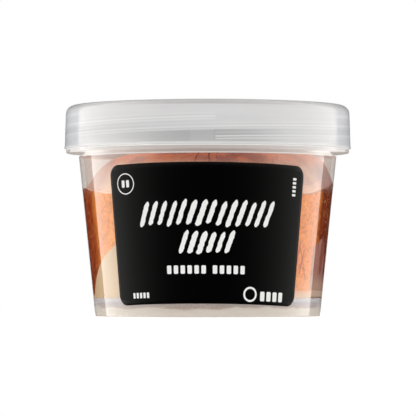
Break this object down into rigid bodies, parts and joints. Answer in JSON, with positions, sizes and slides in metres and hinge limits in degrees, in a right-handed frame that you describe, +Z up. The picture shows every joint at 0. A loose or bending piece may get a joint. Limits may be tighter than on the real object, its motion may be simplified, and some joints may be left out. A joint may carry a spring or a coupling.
{
  "type": "pot of shower jelly",
  "caption": "Clear tapered pot of orange and cream shower jelly, with a frosted screw lid and a black label with round corners on its front.",
  "frame": {"origin": "middle of the foot ring, on the surface it stands on", "axes": "+Z up along the pot's axis, -Y out of the middle of the label, +X to the label's right as it is read"},
  "size_m": [0.074, 0.074, 0.0542],
  "materials": {
    "clear_plastic": "clear, faintly warm moulded plastic, smooth",
    "frosted_plastic": "natural milky translucent plastic, soft sheen",
    "black_film": "black printed film, weak sheen",
    "cream_jelly": "pale opaque jelly",
    "orange_jelly": "shimmering copper-orange jelly"
  },
  "bodies": {
    "root": {"pot": "clear_plastic", "lid": "frosted_plastic", "label": "black_film", "jelly_cream": "cream_jelly", "jelly_orange": "orange_jelly"}
  },
  "joints": []
}
